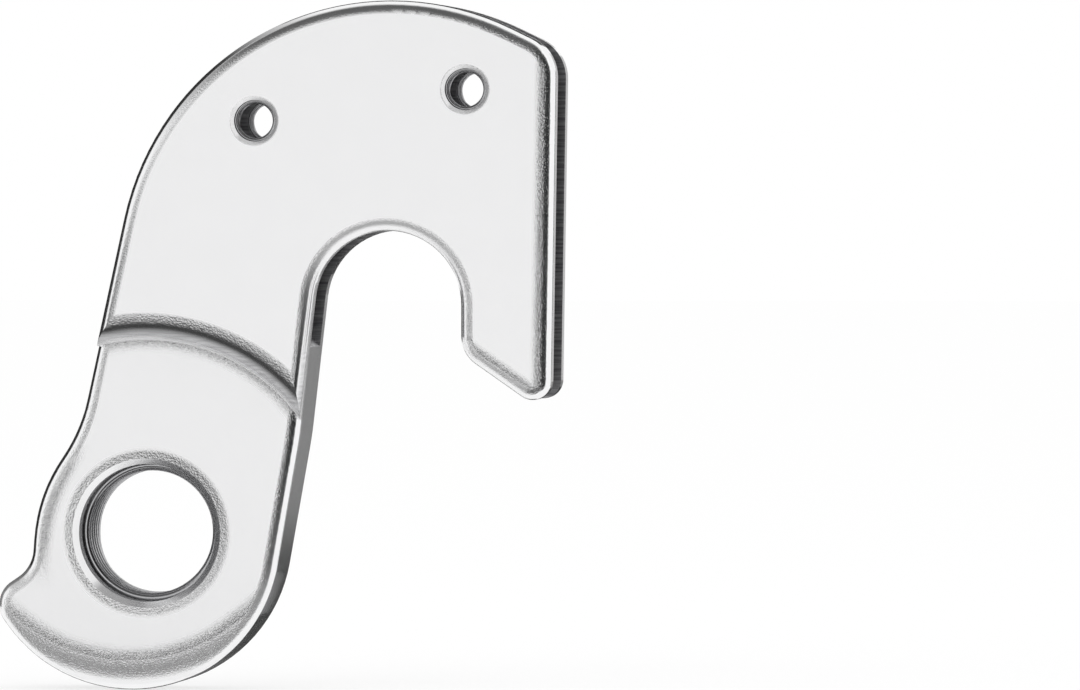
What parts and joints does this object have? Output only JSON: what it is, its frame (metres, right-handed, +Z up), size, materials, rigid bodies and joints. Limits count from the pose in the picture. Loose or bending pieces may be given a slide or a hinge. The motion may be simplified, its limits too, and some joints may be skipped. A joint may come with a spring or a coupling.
{
  "type": "bicycle derailleur hanger",
  "caption": "Flat metal hanger: a humped, forked head that grips a frame plate, an open axle slot, and a stepped leg down to a threaded derailleur eye with a stop tab.",
  "frame": {"origin": "on the axis of the derailleur thread, halfway through the leg's thickness", "axes": "+X towards the front of the bicycle, +Z up, -Y out of the outer face, where the derailleur goes"},
  "size_m": [0.0409, 0.0086, 0.0499],
  "materials": {
    "metal": "bright satin, tumbled and polished"
  },
  "bodies": {
    "root": {"hanger": "metal"}
  },
  "joints": []
}
